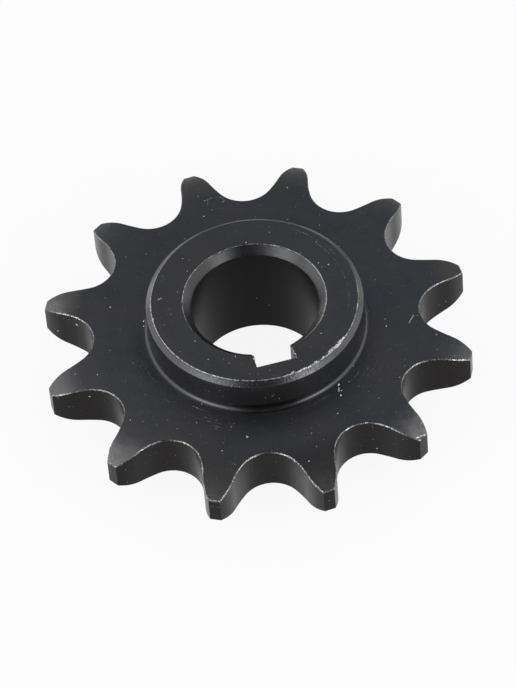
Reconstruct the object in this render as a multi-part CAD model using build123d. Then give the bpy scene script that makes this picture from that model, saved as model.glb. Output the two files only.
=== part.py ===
from build123d import *
from math import acos, cos, degrees, radians, sin, sqrt, tan
import os

# A twelve-tooth sprocket for roller chain of half-inch pitch, with a hub on both sides of its plate.
# It is one solid, made as the real one is: a turned blank, then the hobbed teeth, then the broached keyway.
# Lengths are in millimetres and angles in degrees. Z is the bore axis, z = 0 is the lower hub's face,
# and the keyway points along -Y.

# Chain
PITCH = 12.7
ROLLER_DIAMETER = 7.92

# Teeth. The factors and angles of their form are the roller chain standard's, for any number of teeth.
TEETH = 12
TOOTH_HEIGHT = 3.55
SEAT_TO_ROLLER = 1.005
SEAT_PLAY = 0.04
FOOT_TO_ROLLER = 0.8
FLANK_FLAT = 0.4
FLANK_RADIUS = 6.4

# Toothed plate
PLATE_THICKNESS = 6.2
RELIEF_DEPTH = 1.2
RELIEF_RADIUS = 10.0

# Hub
HUB_DIAMETER = 27.3
UPPER_HUB_RISE = 4.9
LOWER_HUB_RISE = 4.9
HUB_CHAMFER = 0.7
UPPER_HUB_FILLET = 0.5

# Bore and keyway
BORE_DIAMETER = 16.0
BORE_CHAMFER = 1.0
KEYWAY_WIDTH = 5.0
KEYWAY_DEPTH = 2.6
KEYWAY_TO_TOOTH = 3.8

# How far a cutter runs past the metal
OVERRUN = 1.0

PLATE_BOTTOM = LOWER_HUB_RISE
PLATE_TOP = PLATE_BOTTOM + PLATE_THICKNESS
LENGTH = PLATE_TOP + UPPER_HUB_RISE
TOOTH_ANGLE = 360 / TEETH
HALF_TOOTH = radians(TOOTH_ANGLE / 2)
PITCH_RADIUS = PITCH / 2 / sin(HALF_TOOTH)
TIP_RADIUS = PITCH / 2 / tan(HALF_TOOTH) + TOOTH_HEIGHT


def turned_side(plate_face, rise, out):
    """Half the blank's section from the bore to the tooth tips. out is 1 above the plate and -1 below."""
    hub_face = plate_face + out * rise
    bore_radius = BORE_DIAMETER / 2
    hub_radius = HUB_DIAMETER / 2
    relief_angle = acos(1 - RELIEF_DEPTH / RELIEF_RADIUS)
    side = Polyline(
        (bore_radius, hub_face - out * BORE_CHAMFER),
        (bore_radius + BORE_CHAMFER, hub_face),
        (hub_radius - HUB_CHAMFER, hub_face),
        (hub_radius, hub_face - out * HUB_CHAMFER),
        (hub_radius, plate_face),
        (TIP_RADIUS - RELIEF_RADIUS * sin(relief_angle), plate_face),
    )
    relief = JernArc(side @ 1, (1, 0), RELIEF_RADIUS, -out * degrees(relief_angle))
    return side @ 0, relief @ 1


def turned_blank():
    """The hubs, the plate and the bore. The plate's faces fall back towards the rim in a shallow curve."""
    with BuildPart() as blank:
        with BuildSketch(Plane.XZ):
            with BuildLine():
                upper_bore, upper_rim = turned_side(PLATE_TOP, UPPER_HUB_RISE, 1)
                lower_bore, lower_rim = turned_side(PLATE_BOTTOM, LOWER_HUB_RISE, -1)
                Line(upper_bore, lower_bore)
                Line(upper_rim, lower_rim)
            make_face()
        revolve(axis=Axis.Z)
        plate_top_circles = blank.edges().filter_by_position(Axis.Z, PLATE_TOP, PLATE_TOP)
        fillet(plate_top_circles.sort_by(SortBy.RADIUS)[0], UPPER_HUB_FILLET)
    return blank.part


def tooth_gap():
    """The hob's cut between two teeth, centred on +X and open past their tips.

    A roller seats in the arc at the bottom. On each side a wider hollow arc leads out of it, then a short
    flat, then the flank, which bulges towards the gap and ends on the middle line of the tooth.
    """
    seat_radius = SEAT_TO_ROLLER * ROLLER_DIAMETER / 2 + SEAT_PLAY
    seat_angle = 55 - 60 / TEETH
    foot_radius = seat_radius + FOOT_TO_ROLLER * ROLLER_DIAMETER
    foot_angle = 18 - 56 / TEETH
    seat_end = Vector(
        PITCH_RADIUS - seat_radius * cos(radians(seat_angle)),
        seat_radius * sin(radians(seat_angle)),
    )
    tooth_middle = Vector(cos(HALF_TOOTH), sin(HALF_TOOTH))
    beyond_tip = 2 * TIP_RADIUS
    with BuildSketch() as gap:
        with BuildLine():
            foot = JernArc(seat_end, Vector(1, 0).rotate(Axis.Z, 90 - seat_angle), foot_radius, -foot_angle)
            flat = Line(foot @ 1, foot @ 1 + FLANK_FLAT * (foot % 1))
            flank_centre = flat @ 1 + FLANK_RADIUS * (foot % 1).rotate(Axis.Z, 90)
            across = flank_centre.cross(tooth_middle).Z
            point = tooth_middle * (flank_centre.dot(tooth_middle) + sqrt(FLANK_RADIUS**2 - across**2))
            RadiusArc(flat @ 1, point, -FLANK_RADIUS)
            Line(point, tooth_middle * beyond_tip)
            mirror(about=Plane.XZ)
            CenterArc((PITCH_RADIUS, 0), seat_radius, 180 - seat_angle, 2 * seat_angle)
            Line(
                (beyond_tip * cos(HALF_TOOTH), beyond_tip * sin(HALF_TOOTH)),
                (beyond_tip * cos(HALF_TOOTH), -beyond_tip * sin(HALF_TOOTH)),
            )
        make_face()
    return Pos(0, 0, PLATE_BOTTOM - OVERRUN) * extrude(gap.sketch, PLATE_THICKNESS + 2 * OVERRUN)


def keyway():
    """The broached slot, from inside the bore to the keyway's floor and through both ends."""
    reach = BORE_DIAMETER / 2 + KEYWAY_DEPTH
    slot = Box(KEYWAY_WIDTH, reach, LENGTH + 2 * OVERRUN, align=(Align.CENTER, Align.MAX, Align.MIN))
    return Pos(0, 0, -OVERRUN) * slot


first_gap = -90 + KEYWAY_TO_TOOTH + TOOTH_ANGLE / 2
gap = tooth_gap()
gaps = [Rot(0, 0, first_gap + TOOTH_ANGLE * i) * gap for i in range(TEETH)]
sprocket = turned_blank() - gaps - keyway()

os.makedirs("parts", exist_ok=True)
export_step(sprocket, "parts/sprocket.step")
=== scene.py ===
from functools import partial
from math import acos, atan2, cos, degrees, pi, radians, sin, tan
from random import Random

import bpy
from mathutils import Matrix, Vector
from mathutils.bvhtree import BVHTree


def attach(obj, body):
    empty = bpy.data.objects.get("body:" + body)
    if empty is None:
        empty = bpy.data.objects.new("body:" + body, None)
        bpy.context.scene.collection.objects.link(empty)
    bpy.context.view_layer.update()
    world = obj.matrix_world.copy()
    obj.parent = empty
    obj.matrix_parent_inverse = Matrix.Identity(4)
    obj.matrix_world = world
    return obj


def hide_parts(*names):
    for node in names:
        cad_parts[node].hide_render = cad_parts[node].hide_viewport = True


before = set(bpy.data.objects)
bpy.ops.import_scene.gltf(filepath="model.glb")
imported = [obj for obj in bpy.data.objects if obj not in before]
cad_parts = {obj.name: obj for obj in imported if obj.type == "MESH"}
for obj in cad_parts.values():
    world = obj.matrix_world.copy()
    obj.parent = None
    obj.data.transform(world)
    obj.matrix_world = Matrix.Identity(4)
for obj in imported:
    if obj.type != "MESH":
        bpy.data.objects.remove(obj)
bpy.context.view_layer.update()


# ---- The steel body ----
# The sprocket is one piece of steel. A blank is turned with a hub on both sides of its plate, bored and
# chamfered, and the plate's faces are relieved towards the rim. Then the tooth gaps are hobbed through it.
# The keyway is broached last, so it has no chamfer of its own.

mm = 0.001

plate_bottom = 4.9 * mm
plate_top = 11.1 * mm
height = 16.0 * mm
relief_radius = 10.0 * mm
relief_depth = 1.2 * mm
bore_radius = 8.0 * mm
bore_chamfer = 1.0 * mm
hub_radius = 13.65 * mm
hub_chamfer = 0.7 * mm
hub_fillet = 0.5 * mm
key_half_width = 2.5 * mm
key_floor = 10.6 * mm
key_angle = -pi / 2

teeth = 12
tooth_angle = 2 * pi / teeth
chain_pitch = 12.7 * mm
roller_diameter = 7.92 * mm
pitch_radius = chain_pitch / 2 / sin(tooth_angle / 2)
tip_radius = chain_pitch / 2 / tan(tooth_angle / 2) + 3.55 * mm
first_gap = key_angle + radians(3.8) + tooth_angle / 2
seat_radius = 1.005 * roller_diameter / 2 + 0.04 * mm
seat_angle = radians(55 - 60 / teeth)
foot_radius = seat_radius + 0.8 * roller_diameter
foot_angle = radians(18 - 56 / teeth)
flank_flat = 0.4 * mm
flank_radius = 6.4 * mm

rim_break = 0.11 * mm
edge_break = 0.05 * mm


def gap_side(turn):
    """The direction from the roller's middle to the gap's wall, turned from straight inwards."""
    return Vector((-cos(turn), sin(turn)))


# The flank stops where its arc reaches the tip circle. From there the tip's land runs to the tooth's middle.
flank_start = seat_angle + foot_angle
flat_end = (
    Vector((pitch_radius, 0))
    + seat_radius * gap_side(seat_angle)
    + foot_radius * (gap_side(flank_start) - gap_side(seat_angle))
    + flank_flat * Vector((sin(flank_start), cos(flank_start)))
)
flank_middle = flat_end + flank_radius * gap_side(flank_start)
towards_tip = (flank_middle.length_squared + flank_radius**2 - tip_radius**2) / 2 / flank_radius
flank_end = pi - atan2(flank_middle.y, flank_middle.x) - acos(towards_tip / flank_middle.length)
tip_corner = flank_middle - flank_radius * gap_side(flank_end)
land_angle = tooth_angle / 2 - atan2(tip_corner.y, tip_corner.x)

# The mesh's steps along each stretch of half a gap, from its middle to the middle of the tooth
seat_steps, foot_steps, flat_steps, flank_steps, land_steps = 10, 4, 1, 6, 2
half_gap_steps = seat_steps + foot_steps + flat_steps + flank_steps + land_steps

# Its steps along each stretch of the hub's section, and out over each face of the plate
bore_steps, bore_chamfer_steps, face_steps = 4, 5, 9
hub_chamfer_steps, hub_side_steps, fillet_steps = 3, 5, 6
upper_plate_steps, lower_plate_steps = 24, 20
first_share = 0.02
last_share = 0.98
last_reach = 0.96

# Its rows down the gaps' walls, from 1 at the upper rim to -1 at the lower one
wall_rows = (1.0, 0.94, 0.6, 0.2, -0.2, -0.6, -0.94, -1.0)


def spaced(start, end, steps):
    """Evenly spaced values after start, up to and with end."""
    return [start + (end - start) * i / steps for i in range(1, steps + 1)]


section = []


def station(radius, z, across=0.0, clear=1.0, reach=0.0, inset=0.0, side=0.0, drop=0.0, edge=0.0):
    """One line of the mesh round the body.

    across is its share of the hub's face, and clear of its way out of the keyway. reach is its share of
    the way from the hub's foot to the tooth's outline. inset and drop are how far it lies inside the outline
    and below the plate's face. side is 1 on the upper face and -1 on the lower, and edge is 1 on the rims.
    """
    section.append((radius, z, across, clear, reach, inset, side, drop, edge))


def hub_stations(face, plate_face, out, fillet):
    """From the middle of the bore to the hub's foot."""
    first = len(section)
    inner, outer = bore_radius + bore_chamfer, hub_radius - hub_chamfer
    for z in spaced(height / 2, face - out * (bore_chamfer + edge_break), bore_steps):
        station(bore_radius, z, clear=0.0)
    for t in spaced(-edge_break, bore_chamfer - edge_break, bore_chamfer_steps):
        station(bore_radius + max(t, 0), face - out * (bore_chamfer - t), clear=0.0)
    station(inner + edge_break, face, clear=0.0)
    station(inner + edge_break, face, across=first_share, clear=first_share)
    for share in spaced(first_share, last_share, face_steps):
        station(inner + edge_break, face, across=share, clear=share)
    station(inner + edge_break, face, across=1.0)
    station(outer + edge_break, face - out * edge_break)
    for t in spaced(edge_break, hub_chamfer - edge_break, hub_chamfer_steps):
        station(outer + t, face - out * t)
    for z in spaced(face - out * (hub_chamfer + edge_break), plate_face + out * fillet, hub_side_steps):
        station(hub_radius, z)
    for bend in spaced(0, pi / 2, fillet_steps) if fillet else ():
        station(hub_radius + fillet * (1 - cos(bend)), plate_face + out * fillet * (1 - sin(bend)))
    made = section[first:]
    del section[first:]
    return made


upper_hub = hub_stations(height, plate_top, 1, hub_fillet)
lower_hub = hub_stations(0.0, plate_bottom, -1, 0.0)
section += upper_hub
foot_place, lower_foot_place = upper_hub[-1][0], lower_hub[-1][0]
for way_out in spaced(0, last_reach, upper_plate_steps) + [1.0]:
    station(foot_place, 0, reach=way_out, inset=rim_break, side=1.0, edge=float(way_out == 1.0))
for wall_row in wall_rows:
    station(foot_place, 0, reach=1.0, side=wall_row, drop=rim_break, edge=float(abs(wall_row) == 1.0))
for way_out in [1.0] + spaced(0, last_reach, lower_plate_steps)[::-1]:
    station(lower_foot_place, 0, reach=way_out, inset=rim_break, side=-1.0, edge=float(way_out == 1.0))
section += lower_hub[::-1]
section.append(section[0])

section_parts = ("across", "clear", "reach", "inset", "side", "drop", "edge")
blank_points = [(stop[0], 0, stop[1]) for stop in section]
blank_mesh = bpy.data.meshes.new("sprocket_body")
blank_mesh.from_pydata(blank_points, [(i, i + 1) for i in range(len(section) - 1)], [])
for at, part in enumerate(section_parts, 2):
    kept = blank_mesh.attributes.new(part, "FLOAT", "POINT")
    kept.data.foreach_set("value", [stop[at] for stop in section])


class Wire:
    """A node's output. Sums of wires add Math nodes, and Wire.node adds a node of any other kind."""

    def __init__(self, socket):
        self.socket = socket

    @staticmethod
    def node(tree, kind, settings=None, sockets=None, output=0):
        made = tree.nodes.new(kind)
        for name, value in (settings or {}).items():
            setattr(made, name, value)
        for name, value in (sockets or {}).items():
            if isinstance(value, Wire):
                tree.links.new(value.socket, made.inputs[name])
            else:
                made.inputs[name].default_value = value
        return Wire(made.outputs[output]) if made.outputs else None

    def other(self, output):
        """Another output of the same node."""
        return Wire(self.socket.node.outputs[output])

    def do(self, operation, *operands, **settings):
        """A Math node on this and its operands."""
        sockets = dict(enumerate((self, *operands)))
        settings["operation"] = operation
        return Wire.node(self.socket.id_data, "ShaderNodeMath", settings, sockets)

    def __add__(self, other):
        return self.do("ADD", other)

    __radd__ = __add__

    def __sub__(self, other):
        return self.do("SUBTRACT", other)

    def __rsub__(self, other):
        return self.do("MULTIPLY", -1.0) + other

    def __mul__(self, other):
        return self.do("MULTIPLY", other)

    __rmul__ = __mul__

    def __truediv__(self, other):
        return self.do("DIVIDE", other)

    def __lt__(self, other):
        return self.do("LESS_THAN", other)

    def __gt__(self, other):
        return self.do("GREATER_THAN", other)

    def clamped(self):
        return self.do("ADD", 0.0, use_clamp=True)

    def mix(self, other, share):
        """This at a share of 0 and the other at 1."""
        return self + (other - self) * share


wheel = bpy.data.node_groups.new("toothed wheel", "GeometryNodeTree")
wheel_node = partial(Wire.node, wheel)
wheel.interface.new_socket("Turned section", in_out="INPUT", socket_type="NodeSocketGeometry")
wheel_sizes = {
    "Teeth": teeth,
    "Pitch radius": pitch_radius,
    "Tip radius": tip_radius,
    "Seat radius": seat_radius,
    "Seat angle": seat_angle,
    "Foot radius": foot_radius,
    "Foot angle": foot_angle,
    "Flank flat": flank_flat,
    "Flank radius": flank_radius,
    "Flank angle": flank_start - flank_end,
    "Land angle": land_angle,
    "First gap": first_gap,
    "Plate bottom": plate_bottom,
    "Plate top": plate_top,
    "Relief radius": relief_radius,
    "Relief start": tip_radius - (relief_radius**2 - (relief_radius - relief_depth) ** 2) ** 0.5,
    "Bore radius": bore_radius,
    "Key half width": key_half_width,
    "Key floor": key_floor,
    "Key angle": key_angle,
}
for name, value in wheel_sizes.items():
    kind = "NodeSocketInt" if isinstance(value, int) else "NodeSocketFloat"
    wheel.interface.new_socket(name, in_out="INPUT", socket_type=kind)
wheel.interface.new_socket("Steel", in_out="INPUT", socket_type="NodeSocketMaterial")
wheel.interface.new_socket("Body", in_out="OUTPUT", socket_type="NodeSocketGeometry")
given = wheel.nodes.new("NodeGroupInput")
size = {name: Wire(given.outputs[name]) for name in wheel_sizes}

# A flat sheet of mesh: one column for each step round the wheel, one row for each station of the section
rows = len(section)
steps = size["Teeth"] * (2 * half_gap_steps)
sheet_sizes = {"Size X": steps, "Size Y": rows - 1.0, "Vertices X": steps + 1, "Vertices Y": rows}
sheet = wheel_node("GeometryNodeMeshGrid", {}, sheet_sizes)
grid_place = wheel_node("ShaderNodeSeparateXYZ", {}, {0: wheel_node("GeometryNodeInputPosition")})
column = (grid_place + steps / 2).do("ROUND")
row = (grid_place.other("Y") + (rows - 1) / 2).do("ROUND")


def from_section(part):
    """What a station of the turned section holds, for each of its row's points."""
    if part == "place":
        kind, value = "FLOAT_VECTOR", wheel_node("GeometryNodeInputPosition")
    else:
        kind = "FLOAT"
        value = wheel_node("GeometryNodeInputNamedAttribute", {"data_type": kind}, {"Name": part})
    sockets = {"Geometry": Wire(given.outputs["Turned section"]), "Value": value, "Index": row}
    return wheel_node("GeometryNodeSampleIndex", {"data_type": kind}, sockets)


across, clear, reach, inset, side, drop, edge = (from_section(part) for part in section_parts)
turned = wheel_node("ShaderNodeSeparateXYZ", {}, {0: from_section("place")})

# The gap's outline, in the upper half of a gap that opens along +X
gap = ((column / (2 * half_gap_steps)).do("FLOOR")).do("MINIMUM", size["Teeth"] - 1)
step = column - gap * (2 * half_gap_steps) - half_gap_steps
gap_step = step.do("ABSOLUTE")
hand = step.do("SIGN")


def along(start, steps):
    """How much of a stretch of the outline lies behind a column."""
    return ((gap_step - start) / steps).clamped()


foot_from = seat_steps
flat_from = foot_from + foot_steps
flank_from = flat_from + flat_steps
land_from = flank_from + flank_steps
seat_turn = size["Seat angle"] * along(0, seat_steps)
foot_turn = size["Foot angle"] * along(foot_from, foot_steps)
flat_run = size["Flank flat"] * along(flat_from, flat_steps)
flank_turn = size["Flank angle"] * along(flank_from, flank_steps)
seat_end = size["Seat angle"]
foot_lean = seat_end + foot_turn
steepest = seat_end + size["Foot angle"]
gap_x = (
    size["Pitch radius"]
    - size["Seat radius"] * seat_turn.do("COSINE")
    - size["Foot radius"] * (foot_lean.do("COSINE") - seat_end.do("COSINE"))
    + flat_run * steepest.do("SINE")
    + size["Flank radius"] * ((steepest - flank_turn).do("COSINE") - steepest.do("COSINE"))
)
gap_y = (
    size["Seat radius"] * seat_turn.do("SINE")
    + size["Foot radius"] * (foot_lean.do("SINE") - seat_end.do("SINE"))
    + flat_run * steepest.do("COSINE")
    + size["Flank radius"] * (steepest.do("SINE") - (steepest - flank_turn).do("SINE"))
)

# Inwards is square to the wall, along the radius on the tip's land, and in between at the corner.
on_land = along(land_from, 1)
at_corner = along(land_from - 1, 1).do("FLOOR")
lean = seat_turn + foot_turn - flank_turn
way_out = (gap_x * gap_x + gap_y * gap_y).do("SQRT")
wall_x, wall_y = lean.do("COSINE") * -1.0, lean.do("SINE")
land_x, land_y = gap_x / way_out * -1.0, gap_y / way_out * -1.0
between = 1.0 + (wall_x * land_x + wall_y * land_y) * (at_corner - on_land)
in_x = gap_x + inset * (wall_x * (1.0 - on_land) + land_x * at_corner) / between
in_y = gap_y + inset * (wall_y * (1.0 - on_land) + land_y * at_corner) / between
outline = (in_x * in_x + in_y * in_y).do("SQRT")
gap_turn = in_y.do("ARCTAN2", in_x) + size["Land angle"] * along(land_from, land_steps)
turn = size["First gap"] + gap / size["Teeth"] * (2 * pi) + hand * gap_turn

# The bore's outline with its keyway. The columns nearest to the keyway's corners are moved onto them.
snap_angle = radians(0.42)
tiny = 1e-6
key_half, key_reach = size["Key half width"], size["Key floor"]
from_key = (turn - size["Key angle"]).do("WRAP", pi, -pi)
key_side, from_key = from_key.do("SIGN"), from_key.do("ABSOLUTE")
snapped = from_key
for key_corner in ((key_half / key_reach).do("ARCTANGENT"), (key_half / size["Bore radius"]).do("ARCSINE")):
    near = (from_key - key_corner).do("ABSOLUTE") < snap_angle
    snapped = snapped + (key_corner - from_key) * near
bore = (
    (key_reach / snapped.do("COSINE"))
    .do("MINIMUM", key_half / snapped.do("SINE").do("MAXIMUM", tiny))
    .do("MAXIMUM", size["Bore radius"])
)
turn = turn + (snapped - from_key) * key_side * (1.0 - clear)

# The radius and height of each point
hub_reach = turned.do("MAXIMUM", bore.mix(0.0, clear > 0.999))
radius = hub_reach.mix(hub_radius - hub_chamfer - edge_break, across).mix(outline, reach)
past_relief = (radius - size["Relief start"]).do("MAXIMUM", 0.0)
curve = size["Relief radius"]
relief = curve - (curve * curve - past_relief * past_relief).do("SQRT")
middle = (size["Plate top"] + size["Plate bottom"]) / 2
half_plate = (size["Plate top"] - size["Plate bottom"]) / 2
rise = turned.other("Z").mix(middle + side * (half_plate - relief - drop), reach > 0.0)

placed = wheel_node(
    "ShaderNodeCombineXYZ",
    {},
    {"X": radius * turn.do("COSINE"), "Y": radius * turn.do("SINE"), "Z": rise},
)
body = sheet
for name, value in (("edge", edge), ("round", column.do("MODULO", steps))):
    kept_as = {"data_type": "FLOAT", "domain": "POINT"}
    body = wheel_node(
        "GeometryNodeStoreNamedAttribute", kept_as, {"Geometry": body, "Name": name, "Value": value}
    )
body = wheel_node("GeometryNodeSetPosition", {}, {"Geometry": body, "Position": placed})
body = wheel_node("GeometryNodeMergeByDistance", {}, {"Geometry": body, "Distance": tiny})
body = wheel_node("GeometryNodeFlipFaces", {}, {"Mesh": body})
body = wheel_node(
    "GeometryNodeSetShadeSmooth", {"domain": "FACE"}, {"Geometry": body, "Shade Smooth": True}
)
body = wheel_node("GeometryNodeRealizeInstances", {}, {"Geometry": body})
body = wheel_node(
    "GeometryNodeSetMaterial", {}, {"Geometry": body, "Material": Wire(given.outputs["Steel"])}
)
wheel.links.new(body.socket, wheel.nodes.new("NodeGroupOutput").inputs["Body"])

# The whole body is chemically blackened after machining: a thin dark satin film over the tool marks.
# It has rubbed through to bright steel along the hub's upper edge and in places on the gaps' edges.
steel = bpy.data.materials.new("blackened_steel")
steel.use_nodes = True
steel.node_tree.nodes.clear()
shade = partial(Wire.node, steel.node_tree)


def vector(operation, *operands, output=0):
    """A Vector Math node on its operands."""
    return shade("ShaderNodeVectorMath", {"operation": operation}, dict(enumerate(operands)), output)


spot = shade("ShaderNodeTexCoord", output="Object")
spot_x = shade("ShaderNodeSeparateXYZ", {}, {0: spot})
spot_y, spot_z = spot_x.other("Y"), spot_x.other("Z")
from_axis = (spot_x * spot_x + spot_y * spot_y).do("SQRT")
from_middle = (spot_z - height / 2).do("ABSOLUTE")


def noise(scale, detail, roughness=0.5, place=spot):
    """Noise over the surface, with its scale in cells to the metre."""
    sockets = {"Vector": place, "Scale": scale, "Detail": detail, "Roughness": roughness}
    return shade("ShaderNodeTexNoise", {}, sockets)


patch = noise(130.0, 3.0, 0.55)
cloud = noise(450.0, 4.0, 0.6)
grain = noise(5200.0, 2.0)
fleck = noise(9500.0, 2.0, 0.7)
streak = noise(2600.0, 2.0, 0.6)

# Where the film is gone: in a thin line on the gaps' rims, and in a ragged line along the turned rims
on_edge, gap_wear, rim_wear, rim_width = (
    shade("ShaderNodeAttribute", {"attribute_name": name}, {}, "Fac")
    for name in ("edge", "gap wear", "rim wear", "rim width")
)
away = 1.0
for rim_radius in (bore_radius + bore_chamfer, hub_radius - hub_chamfer):
    inwards, down = from_axis - rim_radius, from_middle - (height / 2 - edge_break / 2)
    away = (inwards * inwards + down * down).do("SQRT").do("MINIMUM", away)
rim_line = rim_wear * (1.4 - away / mm / rim_width + (streak - 0.5) * 4.5).clamped()
gap_line = gap_wear * ((on_edge - 0.75) * 4.0).clamped()
broken = (fleck - 0.5) * 2.1 + (streak - 0.5) * 0.6
bare = ((gap_line.do("MAXIMUM", rim_line) * 1.15 - 0.56 - broken) * 4.0).clamped()

# The walls of the gaps and the bore stand upright, the faces of the plate and hubs are level, and the
# chamfers lie between.
normal = shade("ShaderNodeNewGeometry", output="Normal")
normal_z = shade("ShaderNodeSeparateXYZ", {}, {0: normal}, "Z").do("ABSOLUTE")
upright, level = normal_z < 0.3, normal_z > 0.9
gap_bottom, mid_hub, hub_side, foot_end = 20.0 * mm, 12.0 * mm, 13.6 * mm, 14.3 * mm
hobbed = (from_axis > gap_bottom) * upright
reamed = (from_axis < hub_radius * 0.9) * upright
wall = hobbed.do("MAXIMUM", reamed)
chamfered = (normal_z > 0.5) * (normal_z < 0.9) * (from_axis < hub_side)
hub_chamfered = chamfered * (from_axis > mid_hub)
bore_chamfered = chamfered * (from_axis < mid_hub)
on_hub_face = (from_middle > 7.9 * mm) * level
at_foot = (from_axis > hub_side) * (from_axis < foot_end) * (from_middle < 4.0 * mm)


def rises(radius_mm, slope):
    """A share from 0 to 1 that leaves 0 at a radius and rises by the slope for each mm outwards."""
    return ((from_axis / mm - radius_mm) * slope).clamped()


outward = vector("NORMALIZE", vector("MULTIPLY", spot, (1, 1, 0)))


def towards(angle, narrow, wide):
    """1 in the directions near an angle round the axis, and 0 further from it than the wide one."""
    way = (cos(radians(angle)), sin(radians(angle)), 0)
    least, most = cos(radians(wide)), cos(radians(narrow))
    return ((vector("DOT_PRODUCT", outward, way, output="Value") - least) / (most - least)).clamped()


def blend(share, first, second):
    """Two colours mixed, all first at a share of 0."""
    colours = {"A": first, "B": second}
    for name, colour in colours.items():
        colours[name] = colour if isinstance(colour, Wire) else (*colour, 1.0)
    sockets = {"Factor": share, **colours}
    return Wire.node(share.socket.id_data, "ShaderNodeMix", {"data_type": "RGBA"}, sockets, 2)


# The chain's links rub on the relieved tips, which has thinned the film, on some of them much more than on
# the others.
# The outer plate's level face. Below, its colour is darkened towards the front as painted shade and
# lightened towards the left as a painted sheen.
toothed = rises(19.5, 0.4) * level
tip_rub = rises(22.4, 0.3) * (normal_z > 0.3)
worn_by = 0.12
for worn_at, worn in ((124, 0.08), (154, 0.52), (184, 0.05), (214, 0.4), (244, 0.07), (304, 0.4)):
    worn_by = towards(worn_at, 8, 14) * worn + worn_by
tip_rub = tip_rub * worn_by
tip_rub = (tip_rub * (0.35 + ((cloud - 0.35) * 2.5).clamped() + (streak - 0.5) * 0.7)).clamped()

# Painted highlights and shade on the chamfers, and a painted reflection of the hub and painted shade by its
# foot.
# A painted reflection of the hub: dark on the plate beside its left foot
painted_hub_reflection = rises(14.2, 3.0) * rises(16.8, -0.6) * level
painted_hub_reflection = painted_hub_reflection * towards(190, 8, 26) * (0.35 + (streak - 0.45) * 3.0).clamped()
speckled = ((streak - 0.35) * 2.0 + (cloud - 0.4) * 2.0).clamped()
# Painted highlights on the chamfers, where they turn towards the bright sides
painted_chamfer_highlight = hub_chamfered * (0.05 + towards(283, 4, 13) * 0.45) * speckled
painted_chamfer_highlight = painted_chamfer_highlight + hub_chamfered * (towards(143, 11, 26) * 0.85 + towards(352, 4, 11) * 0.3)
painted_chamfer_highlight = painted_chamfer_highlight + bore_chamfered * (towards(314, 18, 31) * 0.95)
# Painted shade on the chamfers
painted_shade_on_hub_chamfer = towards(256, 8, 15) * 0.5 + towards(205, 8, 18) * 0.2 + towards(297, 8, 14) * 0.3
painted_shade_in_bore_chamfer = towards(115, 26, 44) * 0.65 + towards(47, 14, 24) * 0.45 + towards(237, 8, 16) * 0.3
painted_chamfer_shade = hub_chamfered * painted_shade_on_hub_chamfer + bore_chamfered * painted_shade_in_bore_chamfer
# Painted shade in the corner at the hub's foot, deepest towards the front
painted_foot_shade = at_foot * (0.22 + towards(263, 9, 20) * 0.5 - towards(224, 10, 20) * 0.22)

# The film's colour, and then where it is another colour, one over the other: the share of it and the colour
film_colour = blend(((patch - 0.38) * 4.0).clamped(), (0.028, 0.033, 0.041), (0.040, 0.039, 0.042))
for share, tint in (
    (((cloud - 0.3) * 1.6).clamped() * 0.5, (0.050, 0.052, 0.059)),
    # Painted shade on the outer plate towards the front, and a painted sheen on it towards the left
    (toothed * towards(274, 11, 19) * 0.8, (0.023, 0.022, 0.0235)),
    (toothed * towards(244, 10, 20) * 0.6, (0.037, 0.0355, 0.0358)),
    (toothed * towards(199, 26, 40) * 0.7, (0.053, 0.0515, 0.0545)),
    # A painted reflection of the hub beside its foot
    (painted_hub_reflection, (0.017, 0.018, 0.02)),
    (tip_rub, (0.14, 0.132, 0.13)),
    ((normal_z < 0.9) * 0.8, (0.040, 0.040, 0.042)),
    (on_hub_face * (0.2 + towards(168, 30, 75) * 0.4), (0.041, 0.0405, 0.042)),
    # Painted highlights, then painted shade, on the chamfers
    (painted_chamfer_highlight, (0.145, 0.141, 0.139)),
    (painted_chamfer_shade, (0.012, 0.012, 0.012)),
    # Painted shade at the hub's foot
    (painted_foot_shade, (0.005, 0.005, 0.005)),
    (hobbed * 0.85, (0.0112, 0.0092, 0.0085)),
    (reamed * 0.93, (0.0075, 0.0068, 0.0064)),
    (bare, (0.33, 0.33, 0.32)),
):
    film_colour = blend(share, film_colour, tint)

# Fine turning lines tilt the surface in and out along the section, so it shines in fans round the axis.
round_axis = shade("ShaderNodeCombineXYZ", {}, {"X": spot_y / from_axis * -1.0, "Y": spot_x / from_axis})
along_section = vector("CROSS_PRODUCT", round_axis, normal)
line_place = from_axis + spot_z * 1.3
line, groove = (
    shade(
        "ShaderNodeTexNoise", {"noise_dimensions": "1D"}, {"W": line_place, "Scale": scale, "Detail": detail}
    )
    for scale, detail in ((45000.0, 1.0), (3200.0, 2.0))
)
by_hub = (from_axis < 17.0 * mm) * (from_axis > 14.2 * mm)
coarse_turned = by_hub * ((patch - 0.4) * 4.0).clamped() * 0.22 + 0.03
tilt = (line - 0.5) * (1.0 - rises(21.5, 0.4) * 0.3) + (groove - 0.5) * coarse_turned
tilt = tilt * (1.0 - hobbed) * (1.0 - reamed * 0.75)
turned_normal = vector("NORMALIZE", vector("MULTIPLY_ADD", along_section, tilt, normal))

# The hob leaves soft bands that run straight down the walls of the gaps.
wall_place = vector("MULTIPLY", spot, (1, 1, 0.04))
band = noise(750.0, 4.0, 0.6, wall_place)
rough_cut = grain * (0.12 + chamfered * 0.15 + hub_chamfered * 0.4 + tip_rub * 0.8 + wall * 0.12)
rough_cut = rough_cut + streak * (chamfered * 0.3 + hub_chamfered * 0.9 + wall * 0.2)
bump = turned_normal
for relief_height, depth in ((band * hobbed, 0.06 * mm), (rough_cut, 0.03 * mm)):
    sockets = {"Height": relief_height, "Strength": 1.0, "Distance": depth, "Normal": bump}
    bump = shade("ShaderNodeBump", {}, sockets)
finish = {
    "Base Color": film_colour,
    "Metallic": 0.7 + wall * 0.22,
    "Roughness": 0.24 + cloud * 0.08 + reamed * 0.1,
    "Normal": bump,
}
shade("ShaderNodeOutputMaterial", {}, {"Surface": shade("ShaderNodeBsdfPrincipled", {}, finish)})

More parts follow.
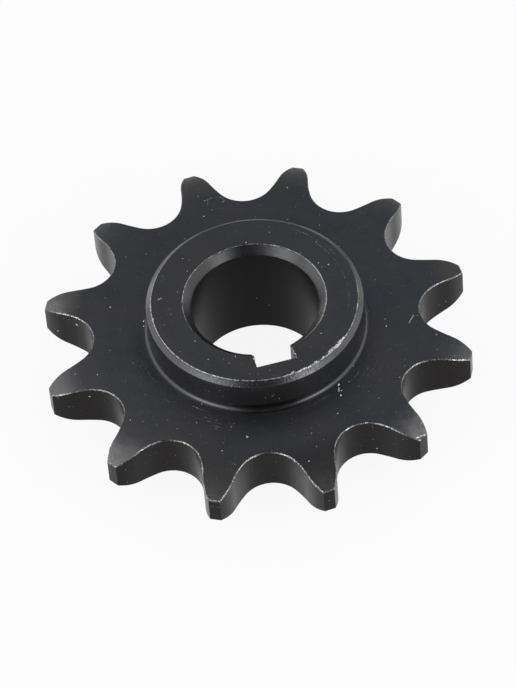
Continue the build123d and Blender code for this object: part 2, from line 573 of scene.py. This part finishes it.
# The turned section is swept round by the tooth rule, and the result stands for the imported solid.
blank = bpy.data.objects.new("turned_blank", blank_mesh)
bpy.context.collection.objects.link(blank)
hobbing = blank.modifiers.new("toothed wheel", "NODES")
hobbing.node_group = wheel
for socket in wheel.interface.items_tree:
    if socket.in_out == "INPUT" and socket.name in wheel_sizes:
        hobbing[socket.identifier] = wheel_sizes[socket.name]
    elif socket.name == "Steel":
        hobbing[socket.identifier] = steel
bpy.context.view_layer.update()
finished = blank.evaluated_get(bpy.context.evaluated_depsgraph_get())
sprocket = bpy.data.objects.new("sprocket_body", bpy.data.meshes.new_from_object(finished))
bpy.context.collection.objects.link(sprocket)
bpy.data.objects.remove(blank)
sprocket.data.set_sharp_from_angle(angle=radians(20))
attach(sprocket, "root")
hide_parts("sprocket")

# The film is thinnest on the edges, and handling has rubbed it through to bright steel there: in a fine
# broken line round the hub's rim and the bore's, in one wide patch on the hub, and here and there on the
# gaps' rims.

# Angles in degrees from +X, how far the film is gone there, and how wide in mm
hub_rim_wear = (
    (0, 0.5, 0.05), (10, 0.35, 0.04), (60, 0.5, 0.04), (115, 0.5, 0.05), (150, 0.75, 0.06),
    (160, 0.6, 0.05), (166, 0.8, 0.07), (175, 0.66, 0.06), (177, 0.85, 0.1), (179, 0.66, 0.06),
    (235, 0.68, 0.06), (260, 0.9, 0.07), (280, 0.88, 0.08), (288, 0.62, 0.1), (292, 0.6, 0.1),
    (298, 0.62, 0.1), (308, 0.72, 0.2), (318, 0.6, 0.07), (334, 0.52, 0.05), (338, 0.8, 0.1),
    (341, 0.55, 0.05), (350, 0.72, 0.06), (360, 0.5, 0.05),
)
bore_rim_wear = (
    (0, 0.6, 0.05), (11, 0.7, 0.06), (35, 0.5, 0.05), (44, 0.65, 0.06), (50, 0.5, 0.05),
    (59, 0.68, 0.07), (63, 0.52, 0.05), (78, 0.75, 0.05), (95, 0.55, 0.05), (150, 0.58, 0.05),
    (178, 0.8, 0.05), (189, 0.55, 0.05), (206, 0.55, 0.05), (225, 0.3, 0.04), (296, 0.3, 0.04),
    (300, 0.7, 0.06), (321, 0.9, 0.1), (336, 0.8, 0.07), (350, 0.58, 0.05), (360, 0.6, 0.05),
)
# For each gap from the keyway on, the burred lengths of its upper rim, from -1 at one tooth's middle to 1 at
# the next, and the size of the burrs there
burred = (
    ((-0.93, -0.9, 0.8), (-0.3, -0.24, 1.0), (-0.22, -0.05, 0.5), (0.14, 0.24, 1.5), (0.3, 0.36, 0.5),
     (0.36, 0.5, 0.9), (0.5, 0.72, 0.7), (0.74, 0.86, 0.4), (0.88, 0.94, 1.5), (0.93, 1.0, 2.6)),
    ((-1.0, -0.94, 0.6), (-0.44, -0.3, 0.3), (0.06, 0.1, 1.1), (0.1, 0.36, 0.6), (0.52, 0.56, 0.5),
     (0.6, 0.74, 0.9), (0.76, 0.84, 1.5), (0.84, 0.93, 0.8)),
    ((-0.25, -0.15, 0.3), (0.2, 0.28, 0.3), (0.3, 0.37, 0.6), (0.4, 0.46, 1.2), (0.48, 0.56, 0.3),
     (0.58, 0.9, 0.7), (0.9, 0.96, 1.2)),
    ((0.45, 0.5, 0.3), (0.82, 0.97, 0.5)),
    ((-0.9, -0.8, 0.3), (0.5, 0.6, 0.3)),
    ((-0.2, -0.1, 0.4), (0.7, 0.8, 0.3)),
    ((-0.95, -0.85, 0.5), (0.1, 0.2, 0.3)),
    ((-0.92, -0.75, 0.7), (-0.72, -0.62, 0.4), (-0.5, -0.3, 0.3), (-0.2, -0.05, 0.7)),
    ((-0.98, -0.92, 0.8), (-0.68, -0.54, 0.8), (-0.54, -0.5, 1.2), (-0.49, -0.32, 0.7), (-0.3, -0.2, 0.6),
     (0.15, 0.19, 1.2), (0.57, 0.61, 0.8)),
    ((-0.93, -0.81, 1.0), (-0.79, -0.67, 0.8), (-0.58, -0.54, 1.3), (-0.5, -0.46, 0.8), (-0.45, -0.42, 1.1),
     (-0.39, -0.32, 0.7), (-0.28, 0.0, 0.35), (0.46, 0.5, 1.2), (0.5, 0.73, 0.6), (0.74, 0.82, 1.3),
     (0.88, 0.94, 1.0)),
    ((-1.0, -0.94, 0.9), (-0.92, -0.82, 0.7), (-0.82, -0.62, 0.35), (-0.53, -0.44, 1.0), (-0.36, -0.33, 0.4),
     (-0.14, 0.25, 0.65), (0.27, 0.45, 0.35), (0.48, 0.53, 1.7), (0.74, 0.8, 1.2), (0.82, 0.94, 0.7)),
    ((-1.0, -0.87, 1.1), (-0.83, -0.65, 0.7), (-0.62, -0.42, 0.45), (-0.4, -0.32, 0.9), (-0.28, -0.2, 0.9),
     (-0.15, -0.06, 0.7), (0.08, 0.24, 0.8), (0.24, 0.36, 1.0), (0.37, 0.41, 1.8), (0.46, 0.49, 1.0),
     (0.53, 0.6, 0.6), (0.67, 0.71, 0.9), (0.72, 0.92, 0.8)),
)

mesh = sprocket.data
edge_of = [kept.value for kept in mesh.attributes["edge"].data]
round_of = [kept.value for kept in mesh.attributes["round"].data]
round_steps = 2 * half_gap_steps * teeth
rims = {}
for vertex in mesh.vertices:
    if edge_of[vertex.index] > 0.5:
        column_here = round(round_of[vertex.index])
        rims.setdefault((vertex.co.z > height / 2, column_here), []).append(vertex.co.copy())


def rim_place(upper, gap_number, share):
    """A place on a gap's rim, by its share of the way along it, and the way along it there."""
    first = gap_number * 2 * half_gap_steps
    columns = [(first + i) % round_steps for i in range(2 * half_gap_steps + 1)]
    stops = [sum(rims[upper, at_column], Vector()) / 2 for at_column in columns]
    run = [0.0]
    for start, end in zip(stops, stops[1:]):
        run.append(run[-1] + (end - start).length)
    wanted = (share + 1) / 2 * run[-1]
    at = max(i for i in range(len(stops) - 1) if run[i] <= wanted)
    start, end = stops[at], stops[at + 1]
    return start.lerp(end, (wanted - run[at]) / (run[at + 1] - run[at])), (end - start).normalized()


def along_rim(upper, gap_number, spans, pitch, seed):
    """Places every pitch or so along the burred lengths of a gap's rim."""
    spacing = Random(seed)
    for start, end, burr_size in spans:
        share = start
        while share <= end:
            place, way = rim_place(upper, gap_number, min(max(share, -1.0), 1.0))
            yield place, way, burr_size
            share += pitch * spacing.uniform(0.5, 1.5)


# The lower rims hide, so they take another gap's burrs at half the size.
burr_places = []
for gap_number in range(teeth):
    burr_places += along_rim(True, gap_number, burred[gap_number], 0.015, gap_number)
    other_gap = (7 * gap_number + 4) % teeth
    lower_burrs = [(start, end, burr_size * 0.5) for start, end, burr_size in burred[other_gap]]
    burr_places += along_rim(False, gap_number, lower_burrs, 0.018, gap_number + teeth)


def wear_of(wear, angle):
    """How far the film is gone at an angle, and how wide in mm, between the two places listed around it."""
    before, after = next(pair for pair in zip(wear, wear[1:]) if pair[0][0] <= angle <= pair[1][0])
    share = (angle - before[0]) / (after[0] - before[0])
    return [first + (second - first) * share for first, second in zip(before[1:], after[1:])]


# The gaps' rims have worn more near a burr. Burrs are sorted into squares of 1 mm, to find the near ones.
burr_reach = 0.3 * mm
squares = [(i, j) for i in (-1, 0, 1) for j in (-1, 0, 1)]
burrs_in = {}
for place, way, burr_size in burr_places:
    burrs_in.setdefault((round(place.x / mm), round(place.y / mm)), []).append((place, burr_size))
gap_wear_of = {}
for (upper, column_here), rim_points in rims.items():
    rim_point = rim_points[0]
    near_sizes = [
        burr_size
        for i, j in squares
        for place, burr_size in burrs_in.get((round(rim_point.x / mm) + i, round(rim_point.y / mm) + j), ())
        if (place - rim_point).length < burr_reach
    ]
    gap_wear_of[upper, column_here] = min(0.6, 0.42 + 0.13 * max(near_sizes, default=0.0))

# The lower hub's rims hide too. They take the upper rims' wear, mirrored and turned by this many degrees.
lower_turn = 200
between_rims = 11.0 * mm
wear_values = {"gap wear": [], "rim wear": [], "rim width": []}
for vertex in mesh.vertices:
    upper = vertex.co.z > height / 2
    angle = degrees(atan2(vertex.co.y, vertex.co.x)) % 360
    rim_wear_list = hub_rim_wear if vertex.co.xy.length > between_rims else bore_rim_wear
    worn, wide_mm = wear_of(rim_wear_list, angle if upper else (lower_turn - angle) % 360)
    wear_values["rim wear"].append(worn)
    wear_values["rim width"].append(wide_mm)
    wear_values["gap wear"].append(gap_wear_of[upper, round(round_of[vertex.index]) % round_steps])
for name, values in wear_values.items():
    mesh.attributes.new(name, "FLOAT", "POINT").data.foreach_set("value", values)
mesh.attributes.remove(mesh.attributes["round"])


# ---- The burrs ----
# The hob throws up a ragged burr of steel along the gaps' rims, and the broach a smaller one along the
# keyway's edges. It stands proud as a row of crumbs, and most of them have been rubbed bright.

crumbs = bpy.data.node_groups.new("steel crumbs", "GeometryNodeTree")
crumb_node = partial(Wire.node, crumbs)
crumbs.interface.new_socket("Places", in_out="INPUT", socket_type="NodeSocketGeometry")
for name, kind in (
    ("Length", "NodeSocketFloat"),
    ("Width", "NodeSocketFloat"),
    ("Thickness", "NodeSocketFloat"),
    ("Scatter", "NodeSocketFloat"),
    ("Least shine", "NodeSocketFloat"),
    ("Most shine", "NodeSocketFloat"),
    ("Seed", "NodeSocketInt"),
    ("Metal", "NodeSocketMaterial"),
):
    crumbs.interface.new_socket(name, in_out="INPUT", socket_type=kind)
crumbs.interface.new_socket("Crumbs", in_out="OUTPUT", socket_type="NodeSocketGeometry")
crumb_inputs = crumbs.nodes.new("NodeGroupInput")


def crumb_input(name):
    return Wire(crumb_inputs.outputs[name])


def chance(kind, low, high, salt):
    """A random value for each crumb, a vector or a float."""
    first, output = (0, 0) if kind == "FLOAT_VECTOR" else (2, 1)
    sockets = {first: low, first + 1: high, "Seed": crumb_input("Seed") + salt}
    return crumb_node("FunctionNodeRandomValue", {"data_type": kind}, sockets, output)


def of_place(kind, name):
    """What a place was given: its size, its normal or the way along it."""
    return crumb_node("GeometryNodeInputNamedAttribute", {"data_type": kind}, {"Name": name})


scatter = crumb_node(
    "ShaderNodeVectorMath",
    {"operation": "SCALE"},
    {
        0: chance("FLOAT_VECTOR", (-1, -1, -1), (1, 1, 1), 1),
        "Scale": crumb_input("Scatter") * of_place("FLOAT", "size"),
    },
)
places = crumb_node(
    "GeometryNodeSetPosition", {}, {"Geometry": crumb_input("Places"), "Offset": scatter}
)
grain_ball = crumb_node("GeometryNodeMeshIcoSphere", {}, {"Radius": 1.0, "Subdivisions": 1})
crumb_size = chance("FLOAT", 0.55, 1.3, 2) * of_place("FLOAT", "size")
shape = crumb_node(
    "ShaderNodeCombineXYZ",
    {},
    {
        "X": crumb_input("Length") * crumb_size * chance("FLOAT", 0.7, 1.5, 3),
        "Y": crumb_input("Width") * crumb_size * chance("FLOAT", 0.6, 1.2, 4),
        "Z": crumb_input("Thickness") * crumb_size * chance("FLOAT", 0.6, 1.2, 5),
    },
)
lying = crumb_node(
    "FunctionNodeAlignRotationToVector", {"axis": "Z"}, {"Vector": of_place("FLOAT_VECTOR", "normal")}
)
lying = crumb_node(
    "FunctionNodeAlignRotationToVector",
    {"axis": "X", "pivot_axis": "Z"},
    {"Rotation": lying, "Vector": of_place("FLOAT_VECTOR", "way")},
)
laid = crumb_node(
    "GeometryNodeInstanceOnPoints",
    {},
    {"Points": places, "Instance": grain_ball, "Rotation": lying, "Scale": shape},
)
shine = crumb_input("Least shine").mix(crumb_input("Most shine"), chance("FLOAT", 0.0, 1.0, 6))
laid = crumb_node(
    "GeometryNodeStoreNamedAttribute",
    {"data_type": "FLOAT", "domain": "INSTANCE"},
    {"Geometry": laid, "Name": "shine", "Value": shine},
)
laid = crumb_node("GeometryNodeRealizeInstances", {}, {"Geometry": laid})
laid = crumb_node(
    "GeometryNodeSetShadeSmooth", {"domain": "FACE"}, {"Geometry": laid, "Shade Smooth": True}
)
laid = crumb_node("GeometryNodeSetMaterial", {}, {"Geometry": laid, "Material": crumb_input("Metal")})
crumbs.links.new(laid.socket, crumbs.nodes.new("NodeGroupOutput").inputs["Crumbs"])


def strew(name, places, inputs):
    """A piece of steel crumbs at places, each with its normal, the way along it and its size."""
    spots = bpy.data.meshes.new(name)
    spots.from_pydata([place[0] for place in places], [], [])
    for at, attribute in ((1, "normal"), (2, "way")):
        values = [part for place in places for part in place[at]]
        spots.attributes.new(attribute, "FLOAT_VECTOR", "POINT").data.foreach_set("vector", values)
    sizes = [place[3] for place in places]
    spots.attributes.new("size", "FLOAT", "POINT").data.foreach_set("value", sizes)
    strewn = bpy.data.objects.new(name, spots)
    bpy.context.collection.objects.link(strewn)
    modifier = strewn.modifiers.new("steel crumbs", "NODES")
    modifier.node_group = crumbs
    for socket in crumbs.interface.items_tree:
        if socket.in_out == "INPUT" and socket.name in inputs:
            modifier[socket.identifier] = inputs[socket.name]
    bpy.context.view_layer.update()
    evaluated = strewn.evaluated_get(bpy.context.evaluated_depsgraph_get())
    piece = bpy.data.objects.new(name, bpy.data.meshes.new_from_object(evaluated))
    bpy.data.objects.remove(strewn)
    piece.name = name
    bpy.context.collection.objects.link(piece)
    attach(piece, "root")


rubbed = bpy.data.materials.new("rubbed_steel")
rubbed.use_nodes = True
rubbed.node_tree.nodes.clear()
rub = partial(Wire.node, rubbed.node_tree)
on_crumb = rub("ShaderNodeTexCoord", output="Object")
smear = rub("ShaderNodeTexNoise", {}, {"Vector": on_crumb, "Scale": 6000.0, "Detail": 2.0})
crumb_shine = rub("ShaderNodeAttribute", {"attribute_name": "shine"}, {}, "Fac")
bright = ((crumb_shine * 1.2 + smear - 0.95) * 2.5).clamped()
crumb_finish = {
    "Base Color": blend(bright, (0.045, 0.045, 0.047), (0.45, 0.45, 0.44)),
    "Metallic": 0.9,
    "Roughness": 0.3 + smear * 0.2,
    "Normal": rub("ShaderNodeBump", {}, {"Height": smear, "Strength": 0.4, "Distance": 0.02 * mm}),
}
rub("ShaderNodeOutputMaterial", {}, {"Surface": rub("ShaderNodeBsdfPrincipled", {}, crumb_finish)})

# The broach left burrs on the keyway's edges: each one's ends and its depth in mm, and its crumbs' size.
key_burrs = (
    ((2.49, -8.75), (2.49, -10.4), 0.09, 2.3),
    ((2.6, -9.7), (2.56, -10.6), 0.07, 1.6),
    ((-2.5, -8.7), (-2.47, -9.3), 0.03, 1.9),
    ((2.5, -10.62), (0.4, -10.62), 0.0, 0.35),
    ((2.9, -11.2), (3.1, -11.5), 0.0, 0.9),
)
key_burr_pitch = 0.09 * mm
key_chance = Random(4)
for start, end, down_mm, burr_size in key_burrs:
    start, end = (Vector((*corner, height / mm - down_mm)) * mm for corner in (start, end))
    count = round((end - start).length / key_burr_pitch)
    for i in range(count):
        place = start.lerp(end, (i + key_chance.random()) / count)
        burr_places.append((place, (end - start).normalized(), burr_size))
strew(
    "gap_burrs",
    [
        (place, Vector((0, 0, 1 if place.z > height / 2 else -1)), way, burr_size)
        for place, way, burr_size in burr_places
    ],
    {
        "Length": 0.075 * mm,
        "Width": 0.045 * mm,
        "Thickness": 0.04 * mm,
        "Scatter": 0.04 * mm,
        "Least shine": 0.0,
        "Most shine": 1.0,
        "Seed": 12,
        "Metal": rubbed,
    },
)


# ---- The chips ----
# Where the film is chipped or a crumb of swarf has stuck in it, a bright fleck of steel shows. Most are as
# small as dust. The few that stand out lie where the camera sees them, on the steel that a ray through their
# pixel meets.

camera_turn, camera_height, camera_roll = radians(11.16), radians(50.967), radians(-5.027)
camera_distance = 602.8 * mm
focal_pixels = 4773.27
picture_width, picture_height = 516, 688
aim_x, aim_y = 1.182, 10.859
camera_back = Vector(
    (
        -sin(camera_turn) * cos(camera_height),
        -cos(camera_turn) * cos(camera_height),
        sin(camera_height),
    )
)
unrolled_right = Vector((cos(camera_turn), -sin(camera_turn), 0))
unrolled_up = camera_back.cross(unrolled_right)
camera_right = cos(camera_roll) * unrolled_right + sin(camera_roll) * unrolled_up
camera_up = -sin(camera_roll) * unrolled_right + cos(camera_roll) * unrolled_up
aim = (camera_up * aim_y - camera_right * aim_x) / focal_pixels
eye = Vector((0, 0, plate_bottom)) + camera_distance * (camera_back + aim)

# Each mark's size and its pixel, across and down, or for a row of chips the pixels of its ends and bends
marks = {
    "head of the knock beside the hub": (1.8, (338.6, 384.2), (338.6, 386)),
    "shaft of that knock": (1.1, (338.6, 387.5), (339.2, 392)),
    "splinter beside that knock": (1.1, (341.4, 390.4)),
    "foot of that knock": (1.4, (340.7, 394.5), (341, 396.5)),
    "first torn film along the hub's rim": (1.1, (291.8, 372.5), (294.5, 371.2)),
    "second torn film": (1.3, (301, 369.5), (303.3, 369.3), (307, 367.2)),
    "third torn film": (1.2, (314.3, 362.2), (317.5, 360.8)),
    "fourth torn film": (1.5, (323, 358), (323.8, 355.6)),
    "fifth torn film": (1.5, (328.8, 352), (330.3, 350.4), (333, 348), (338.5, 343.3)),
    "sixth torn film": (1.6, (338.8, 342), (342, 339.4), (344.8, 336.6)),
    "knock on the right of the plate": (0.8, (409, 323), (414, 314)),
    "worn corner of the front right tooth": (2.2, (417, 438), (419, 436.8)),
    "edge of that tooth": (1.3, (420, 436.2), (426.5, 434.2)),
    "hair's start": (0.38, (207.5, 204.5), (207.5, 200), (213, 197.3)),
    "hair's end": (0.42, (216, 197), (220, 197), (224.5, 200.5), (221.5, 203)),
    "curl of swarf on the hub": (0.6, (157, 300.2), (159, 299.2), (161, 298.3), (162.8, 298.8)),
    "crumb above the hub's left foot": (1.6, (144, 321)),
    "crumb at the hub's left foot": (1.9, (144, 326), (143, 327)),
    "chip in the hub's left rim": (1.8, (153, 319)),
    "upper left chip": (1.2, (126, 257)),
    "left chip": (1.3, (110.5, 307)),
    "lower left chip": (0.9, (145.3, 394.7)),
    "chip behind the lower left tooth": (1.0, (97.5, 374.5)),
    "chip beside the lower left gap": (0.9, (130.3, 420)),
    "front chip": (1.0, (222, 450.5)),
    "scuff behind the front tooth": (1.0, (246.5, 436), (248.5, 437.5)),
    "chip on the front tooth": (0.9, (309, 461)),
    "right chip": (0.9, (385, 319)),
    "larger right chip": (1.4, (386, 326)),
    "chip beside the knock": (0.9, (349, 381.7)),
    "right front chip": (1.0, (404.5, 366)),
    "chip on the right tooth": (1.1, (436.5, 334.5)),
    "upper right chip": (0.9, (339.5, 246)),
    "top chip": (0.8, (203.8, 216.3)),
    "chip on the hub's far right": (1.2, (328.5, 264.5)),
    "chip by the hub's far rim": (0.9, (316, 241.5)),
    "left chip on the hub's side": (1.0, (208.7, 391.7)),
    "middle chip on the hub's side": (0.8, (222.8, 396.3)),
    "right chip on the hub's side": (0.9, (274, 395)),
    "upper chip in the bore": (0.8, (256.7, 298)),
    "lower chip in the bore": (0.8, (269, 305.3)),
    "chip in the bore's right": (0.7, (310.8, 287.5)),
    "crumb on the left gap's wall": (1.2, (77, 325), (78, 325)),
    "crumb on the lower left gap's wall": (1.5, (89, 396.3), (91, 396.8)),
    "crumb under the lower left tooth's tip": (1.0, (58, 398)),
    "chip on the left tooth's end": (0.9, (58, 331)),
    "crumb on the front right gap's wall": (1.4, (377, 448.5)),
}
vertex_places = [vertex.co for vertex in mesh.vertices]
surface = BVHTree.FromPolygons(vertex_places, [face.vertices for face in mesh.polygons])


def seen_at(pixel):
    """The place on the steel that the camera sees at a pixel, and the way its surface faces there."""
    across, down = pixel
    sideways = camera_right * (across - picture_width / 2) - camera_up * (down - picture_height / 2)
    return surface.ray_cast(eye, (sideways - camera_back * focal_pixels).normalized())[:2]


upwards = Vector((0, 0, 1))
chip_places = []
for mark_size, *pixels in marks.values():
    for start, end in zip(pixels, pixels[1:] or pixels):
        count = max(1, round((Vector(end) - Vector(start)).length))
        for i in range(count):
            place, facing = seen_at(Vector(start).lerp(Vector(end), i / count))
            chip_places.append((place, facing, facing.orthogonal().normalized(), mark_size))

# Smaller chips lie anywhere on the upper faces.
small_chips = 60
small_chance = Random(9)
upper_faces = [face for face in mesh.polygons if face.normal.z > 0.9]
upper_areas = [face.area for face in upper_faces]
for face in small_chance.choices(upper_faces, weights=upper_areas, k=small_chips):
    way = face.normal.orthogonal().normalized()
    chip_places.append((face.center.copy(), upwards, way, small_chance.uniform(0.5, 0.8)))

# Dust lies on all sides but in the bore, and most of it lies on the keyway's side.
dust_specks = 2200
dust_chance = Random(21)
least_area = 0.01 * mm**2
dusty = [
    face
    for face in mesh.polygons
    if face.area > least_area and face.center.xy.length > bore_radius + bore_chamfer
]
likely = [face.area * (1.8 if face.center.y < -bore_radius else 0.6) for face in dusty]
for face in dust_chance.choices(dusty, weights=likely, k=dust_specks):
    shares = [dust_chance.random() for corner in face.vertices]
    parts = (mesh.vertices[i].co * share for i, share in zip(face.vertices, shares))
    place = sum(parts, Vector()) / sum(shares)
    way = mesh.vertices[face.vertices[0]].co - mesh.vertices[face.vertices[1]].co
    speck_size = 0.2 + 0.4 * dust_chance.random() ** 5
    chip_places.append((place, face.normal.copy(), way.normalized(), speck_size))

strew(
    "film_chips",
    chip_places,
    {
        "Length": 0.11 * mm,
        "Width": 0.095 * mm,
        "Thickness": 0.016 * mm,
        "Scatter": 0.0,
        "Least shine": 0.6,
        "Most shine": 1.0,
        "Seed": 5,
        "Metal": rubbed,
    },
)


# ---- The turning scratches ----
# A loose chip under the tool scored fine broken lines round the plate by the hub, and round the hub's own
# face. They shine a little where the blackening has rubbed off their edges.

# Radius in mm, from one angle to another in degrees, and the height of the face in mm
scores = (
    (15.0, 224, 233, 11.1), (15.3, 186, 199, 11.1), (15.5, 228, 239, 11.1), (15.9, 231, 237, 11.1),
    (16.3, 233, 244, 11.1), (16.8, 236, 243, 11.1), (16.1, 206, 214, 11.1), (15.2, 305, 313, 11.1),
    (15.9, 308, 316, 11.1), (16.5, 310, 317, 11.1), (16.9, 312, 318, 11.1), (14.8, 284, 292, 11.1),
    (11.8, 332, 358, 16.0), (11.7, 0, 34, 16.0), (12.2, 20, 52, 16.0), (11.9, 60, 74, 16.0),
)


def around(out_mm, angle, z_mm):
    """A place by its radius, its angle from +X and its height."""
    return Vector((out_mm * cos(radians(angle)), out_mm * sin(radians(angle)), z_mm)) * mm


score_chance = Random(3)
score_places = []
score_wander_mm = 0.015
for out_mm, angle, last_angle, face_mm in scores:
    while angle < last_angle:
        way = around(1, angle + 90, 0) / mm
        place = around(out_mm + score_chance.uniform(-score_wander_mm, score_wander_mm), angle, face_mm)
        score_places.append((place, upwards, way, score_chance.uniform(0.5, 1.0)))
        angle += degrees(score_chance.uniform(0.15, 0.4) / out_mm)
strew(
    "turning_scores",
    score_places,
    {
        "Length": 0.3 * mm,
        "Width": 0.018 * mm,
        "Thickness": 0.006 * mm,
        "Scatter": 0.0,
        "Least shine": 0.25,
        "Most shine": 0.6,
        "Seed": 8,
        "Metal": rubbed,
    },
)


# ---- Floor, light and camera ----
# The sprocket lies on white paper, which keeps only its shadow, and two softboxes light it. Its turned faces
# mirror a pale room with a wide bright panel on two sides and a dark one in front.

floor_height = -0.02 * mm
floor_half = 2.0
floor_ends = ((-1, -1), (1, -1), (1, 1), (-1, 1))
floor_corners = [(side_x * floor_half, side_y * floor_half, floor_height) for side_x, side_y in floor_ends]
floor_mesh = bpy.data.meshes.new("floor")
floor_mesh.from_pydata(floor_corners, [], [(0, 1, 2, 3)])
floor = bpy.data.objects.new("floor", floor_mesh)
bpy.context.collection.objects.link(floor)

# The paper is nearly white to the eye and greyer where the steel mirrors it, and it is clear from below.
paper = bpy.data.materials.new("white_paper")
paper.use_nodes = True
paper.node_tree.nodes.clear()
paper_node = partial(Wire.node, paper.node_tree)
ray = paper_node("ShaderNodeLightPath")
to_eye = ray.do("MAXIMUM", ray.other("Is Transmission Ray"))
glowing = (to_eye * 0.9).do("MAXIMUM", ray.other("Is Glossy Ray") * 0.65)
matt = paper_node("ShaderNodeBsdfDiffuse", {}, {"Color": (0.85, 0.85, 0.85, 1)})
white = paper_node("ShaderNodeEmission", {}, {"Color": (1, 1, 1, 1), "Strength": 1.0})
covering = paper_node("ShaderNodeMixShader", {}, {0: glowing, 1: matt, 2: white})
under_side = paper_node("ShaderNodeNewGeometry", output="Backfacing")
clear_below = paper_node("ShaderNodeBsdfTransparent")
covering = paper_node("ShaderNodeMixShader", {}, {0: under_side, 1: covering, 2: clear_below})
paper_node("ShaderNodeOutputMaterial", {}, {"Surface": covering})
floor_mesh.materials.append(paper)

world = bpy.data.worlds.new("studio")
bpy.context.scene.world = world
world.use_nodes = True
world.node_tree.nodes.clear()
room = partial(Wire.node, world.node_tree)
looking = room("ShaderNodeTexCoord", output="Generated")
looking_up = room("ShaderNodeSeparateXYZ", {}, {0: looking}, "Z")
looking_level = room("ShaderNodeVectorMath", {"operation": "MULTIPLY"}, {0: looking, 1: (1, 1, 0)})
looking_level = room("ShaderNodeVectorMath", {"operation": "NORMALIZE"}, {0: looking_level})


def panel(middle_angle, half_angle, soft):
    """How far a direction lies in a soft panel of the room, by its middle and half width in degrees."""
    way = (cos(radians(middle_angle)), sin(radians(middle_angle)), 0)
    dot = {"operation": "DOT_PRODUCT"}
    sockets = {
        "Value": room("ShaderNodeVectorMath", dot, {0: looking_level, 1: way}, "Value"),
        "From Min": cos(radians(half_angle + soft)),
        "From Max": cos(radians(half_angle - soft)),
    }
    return room("ShaderNodeMapRange", {"interpolation_type": "SMOOTHSTEP"}, sockets)


ray = room("ShaderNodeLightPath")
mirrored = ray.other("Is Glossy Ray").do("MAXIMUM", ray.other("Is Transmission Ray"))
overhead = ((looking_up - 0.84) * 8.0).clamped()
room_light = 0.65
mirror_room = room_light + panel(172, 56, 10) * 2.2 + panel(-18, 44, 12) * 2.1
mirror_room = mirror_room.mix(0.5, overhead).mix(0.04, panel(-99, 22, 7))
strength = (ray * (1.0 - mirrored)) + mirrored * mirror_room + (1.0 - ray) * (1.0 - mirrored) * room_light
air = room("ShaderNodeBackground", {}, {"Color": (1, 1, 1, 1), "Strength": strength})
room("ShaderNodeOutputWorld", {}, {"Surface": air})

softbox_distance = 0.5
for name, turned_to, raised, width, power in (
    ("left_softbox", radians(-153), radians(33), 0.24, 4.0),
    ("right_softbox", radians(-54), radians(33), 0.2, 6.0),
):
    way = Vector((cos(turned_to) * cos(raised), sin(turned_to) * cos(raised), sin(raised)))
    lamp = bpy.data.lights.new(name, "AREA")
    lamp.shape, lamp.size = "SQUARE", width
    lamp.energy = power * pi * width**2
    softbox = bpy.data.objects.new(name, lamp)
    pointed = way.to_track_quat("Z", "Y").to_matrix().to_4x4()
    softbox.matrix_world = Matrix.Translation(way * softbox_distance) @ pointed
    bpy.context.collection.objects.link(softbox)

lens = bpy.data.cameras.new("camera")
lens.sensor_fit, lens.sensor_width = "HORIZONTAL", 36.0
lens.lens = focal_pixels / picture_width * lens.sensor_width
camera = bpy.data.objects.new("camera", lens)
camera_axes = Matrix((camera_right, camera_up, camera_back)).transposed().to_4x4()
camera.matrix_world = Matrix.Translation(eye) @ camera_axes
bpy.context.collection.objects.link(camera)
bpy.context.scene.camera = camera
bpy.context.scene.view_settings.view_transform = "Standard"
